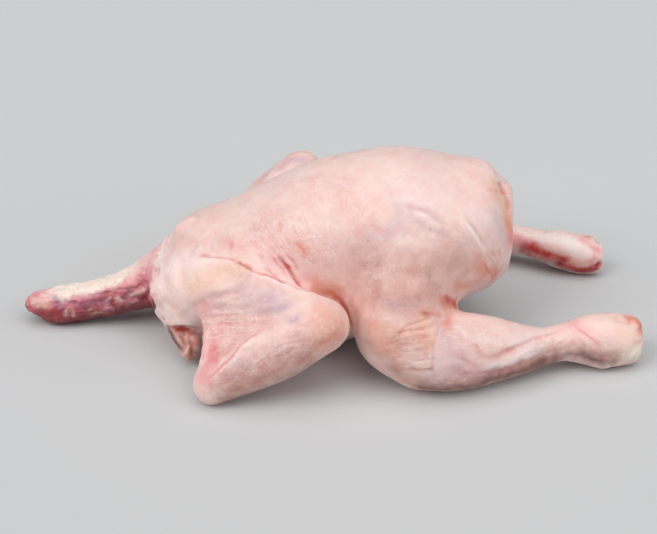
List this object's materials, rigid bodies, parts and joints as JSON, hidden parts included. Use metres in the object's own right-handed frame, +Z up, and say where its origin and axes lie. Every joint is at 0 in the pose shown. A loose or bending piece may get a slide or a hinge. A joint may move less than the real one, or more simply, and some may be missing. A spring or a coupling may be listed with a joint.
{
  "type": "whole raw chicken",
  "caption": "Whole raw plucked hen lying on its breast, skinned neck stretched forward, wings folded, drumsticks stretched back and feet cut off at the hocks.",
  "frame": {"origin": "middle of the underside, on the surface that the bird lies on", "axes": "+X towards the tail and the hocks, -X towards the neck, +Z up, -Y is the bird's left side"},
  "size_m": [0.4162, 0.2216, 0.1245],
  "materials": {
    "skin": "moist plucked skin, pale pink to cream, with dark red meat on the bare neck"
  },
  "bodies": {
    "root": {"carcass": "skin"}
  },
  "joints": []
}
